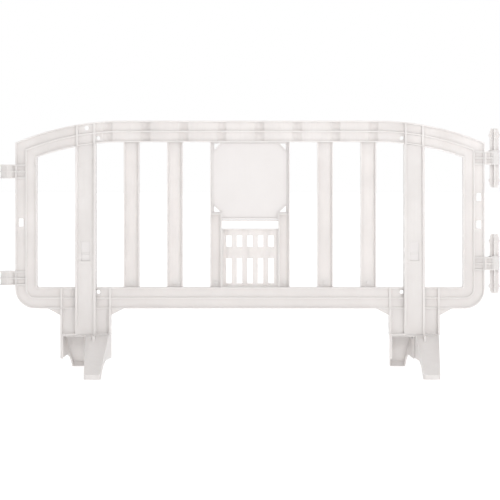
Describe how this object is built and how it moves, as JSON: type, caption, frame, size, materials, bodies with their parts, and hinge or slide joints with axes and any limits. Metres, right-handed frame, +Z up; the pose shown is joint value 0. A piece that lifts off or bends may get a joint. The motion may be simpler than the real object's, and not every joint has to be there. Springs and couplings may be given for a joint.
{
  "type": "plastic crowd barrier",
  "caption": "Ribbed plastic crowd barrier panel with slats, a blank sign plate, end links and swivelling Z-shaped feet.",
  "frame": {"origin": "on the ground, under the middle of the panel", "axes": "+X along the panel to the pin end, +Y to the rear, +Z up"},
  "size_m": [2, 0.6, 1.007],
  "materials": {
    "white_hdpe": "fine moulded grain, faintly warm white",
    "plate_hdpe": "smooth moulded",
    "zinc_steel": "zinc plated",
    "brass": "plain turned",
    "acetal": "smooth turned"
  },
  "bodies": {
    "panel": {"perimeter_frame": "white_hdpe", "centre_frame": "white_hdpe", "sign_panel": "plate_hdpe", "slotted_grille": "white_hdpe", "slat_outer_left": "white_hdpe", "slat_inner_left": "white_hdpe", "slat_inner_right": "white_hdpe", "slat_outer_right": "white_hdpe", "slat_rivets": "white_hdpe", "upper_link_eye": "white_hdpe", "lower_link_eye": "white_hdpe", "upper_link_bracket": "white_hdpe", "lower_link_bracket": "white_hdpe", "upper_link_pin": "white_hdpe", "lower_link_pin": "white_hdpe", "left_post_front": "white_hdpe", "left_post_rear": "white_hdpe", "left_post_bolts": "zinc_steel", "left_post_inserts": "brass", "left_id_plate": "plate_hdpe", "left_lower_bush": "acetal", "left_upper_bush": "acetal", "right_post_front": "white_hdpe", "right_post_rear": "white_hdpe", "right_post_bolts": "zinc_steel", "right_post_inserts": "brass", "right_id_plate": "plate_hdpe", "right_lower_bush": "acetal", "right_upper_bush": "acetal"},
    "left_foot_assembly": {"left_foot": "white_hdpe", "left_pivot_bolt": "zinc_steel", "left_pivot_nut": "zinc_steel", "left_pivot_washers": "zinc_steel"},
    "right_foot_assembly": {"right_foot": "white_hdpe", "right_pivot_bolt": "zinc_steel", "right_pivot_nut": "zinc_steel", "right_pivot_washers": "zinc_steel"}
  },
  "joints": [
    {"name": "left_foot_swivel", "type": "hinge", "parent": "panel", "child": "left_foot_assembly", "pos_m": [-0.656, 0, 0.18], "axis": [0, 0, 1], "range_deg": [0, 90]},
    {"name": "right_foot_swivel", "type": "hinge", "parent": "panel", "child": "right_foot_assembly", "pos_m": [0.656, 0, 0.18], "axis": [0, 0, 1], "range_deg": [0, 90]}
  ]
}
